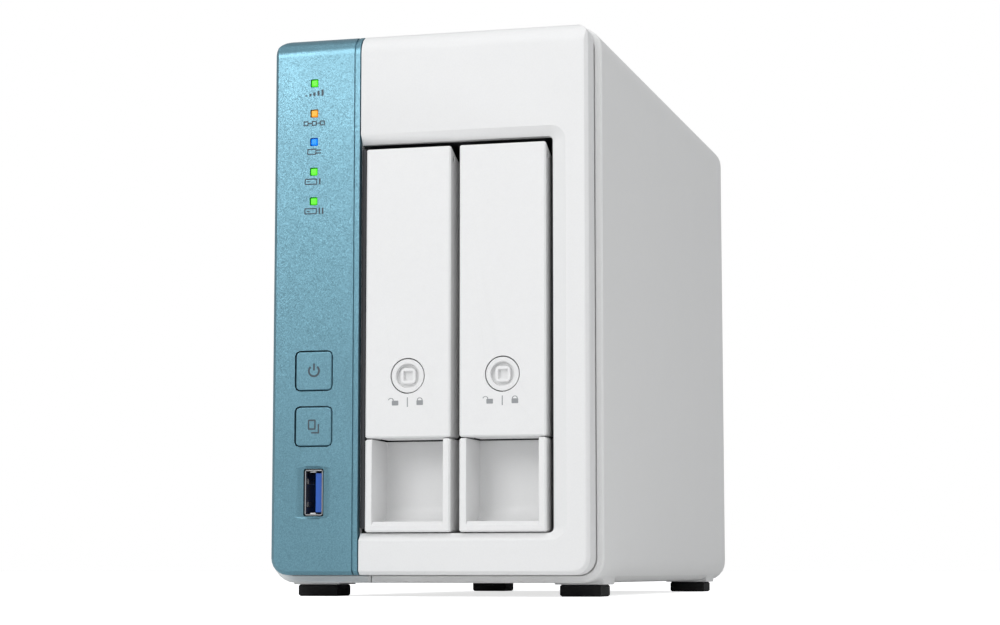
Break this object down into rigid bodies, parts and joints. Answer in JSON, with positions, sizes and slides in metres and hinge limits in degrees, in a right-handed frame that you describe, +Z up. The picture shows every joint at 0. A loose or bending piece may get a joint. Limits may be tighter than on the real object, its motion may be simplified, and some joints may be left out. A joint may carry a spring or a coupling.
{
  "type": "network attached storage",
  "caption": "Desktop network storage tower with side-by-side upright drive trays, lever doors with key locks, a coloured control panel, front port and rear fan.",
  "frame": {"origin": "middle of the footprint, on the floor under the feet", "axes": "+X to the right seen from the front, -Y towards the user at the front, +Z up"},
  "size_m": [0.102, 0.219, 0.1685],
  "materials": {
    "white_plastic": "fine spark-textured white moulding",
    "white_bezel": "smooth satin white moulding with a fine grain",
    "teal_plastic": "satin metallic blue-grey paint with a fine sparkle",
    "grey_plastic": "dark grey moulding",
    "black_plastic": "black moulding",
    "blue_plastic": "blue connector moulding",
    "rubber": "black rubber",
    "plated_steel": "tin-plated sheet steel",
    "screw_steel": "zinc-plated steel",
    "painted_sheet": "white powder-coated sheet steel",
    "cast_aluminium": "bead-blasted cast aluminium",
    "circuit_board": "green solder mask",
    "green_light": "clear light pipe, lit green",
    "orange_light": "clear light pipe, lit orange",
    "blue_light": "clear light pipe, lit blue"
  },
  "bodies": {
    "enclosure": {"main_shell": "white_plastic", "left_cover": "white_plastic", "front_left_foot": "rubber", "front_right_foot": "rubber", "rear_left_foot": "rubber", "rear_right_foot": "rubber", "front_bezel": "white_bezel", "accent_panel": "teal_plastic", "status_light": "green_light", "network_light": "orange_light", "port_light": "blue_light", "disk_1_light": "green_light", "disk_2_light": "green_light", "power_switch": "black_plastic", "copy_switch": "black_plastic", "front_board": "circuit_board", "front_usb_sleeve": "plated_steel", "front_usb_core": "blue_plastic", "drive_cage": "grey_plastic", "backplane_board": "circuit_board", "drive_socket_1": "black_plastic", "drive_socket_2": "black_plastic", "main_board": "circuit_board", "heat_sink": "cast_aluminium", "coin_cell": "plated_steel", "rear_panel": "painted_sheet", "fan_frame": "black_plastic", "fan_screw_1": "screw_steel", "fan_screw_2": "screw_steel", "fan_screw_3": "screw_steel", "fan_screw_4": "screw_steel", "case_screw_1": "screw_steel", "case_screw_2": "screw_steel", "case_screw_3": "screw_steel", "network_port": "plated_steel", "rear_usb_sleeve_1": "plated_steel", "rear_usb_core_1": "black_plastic", "rear_usb_sleeve_2": "plated_steel", "rear_usb_core_2": "black_plastic", "power_jack": "black_plastic"},
    "tray_1": {"tray_1_carrier": "grey_plastic", "tray_1_grip": "white_bezel", "tray_1_hinge_pin": "screw_steel", "drive_1_body": "cast_aluminium", "drive_1_cover": "plated_steel", "drive_1_board": "circuit_board"},
    "tray_2": {"tray_2_carrier": "grey_plastic", "tray_2_grip": "white_bezel", "tray_2_hinge_pin": "screw_steel", "drive_2_body": "cast_aluminium", "drive_2_cover": "plated_steel", "drive_2_board": "circuit_board"},
    "lever_1": {"tray_1_lever": "white_bezel"},
    "lever_2": {"tray_2_lever": "white_bezel"},
    "lock_1": {"tray_1_lock": "white_bezel"},
    "lock_2": {"tray_2_lock": "white_bezel"},
    "power_key": {"power_button": "teal_plastic"},
    "copy_key": {"copy_button": "teal_plastic"},
    "reset_key": {"reset_button": "black_plastic"},
    "fan": {"fan_rotor": "black_plastic"}
  },
  "joints": [
    {"name": "tray_1_slide", "type": "slide", "parent": "enclosure", "child": "tray_1", "axis": [0, -1, 0], "range_m": [0, 0.14]},
    {"name": "tray_2_slide", "type": "slide", "parent": "enclosure", "child": "tray_2", "axis": [0, -1, 0], "range_m": [0, 0.14]},
    {"name": "lever_1_swing", "type": "hinge", "parent": "tray_1", "child": "lever_1", "pos_m": [-0.00619, -0.106, 0.1295], "axis": [-1, 0, 0], "range_deg": [0, 50]},
    {"name": "lever_2_swing", "type": "hinge", "parent": "tray_2", "child": "lever_2", "pos_m": [0.02275, -0.106, 0.1295], "axis": [-1, 0, 0], "range_deg": [0, 50]},
    {"name": "lock_1_turn", "type": "hinge", "parent": "lever_1", "child": "lock_1", "pos_m": [-0.00619, -0.109, 0.0648], "axis": [0, 1, 0], "range_deg": [-45, 45]},
    {"name": "lock_2_turn", "type": "hinge", "parent": "lever_2", "child": "lock_2", "pos_m": [0.02275, -0.109, 0.0648], "axis": [0, 1, 0], "range_deg": [-45, 45]},
    {"name": "power_press", "type": "slide", "parent": "enclosure", "child": "power_key", "axis": [0, 1, 0], "range_m": [0, 0.0008], "stiffness_N_per_m": 400, "springref_m": -0.0006},
    {"name": "copy_press", "type": "slide", "parent": "enclosure", "child": "copy_key", "axis": [0, 1, 0], "range_m": [0, 0.0008], "stiffness_N_per_m": 400, "springref_m": -0.0006},
    {"name": "reset_press", "type": "slide", "parent": "enclosure", "child": "reset_key", "axis": [0, -1, 0], "range_m": [0, 0.0005], "stiffness_N_per_m": 400, "springref_m": -0.0006},
    {"name": "fan_spin", "type": "hinge", "parent": "enclosure", "child": "fan", "pos_m": [0.0083, 0.098, 0.1], "axis": [0, 1, 0], "continuous": true}
  ]
}
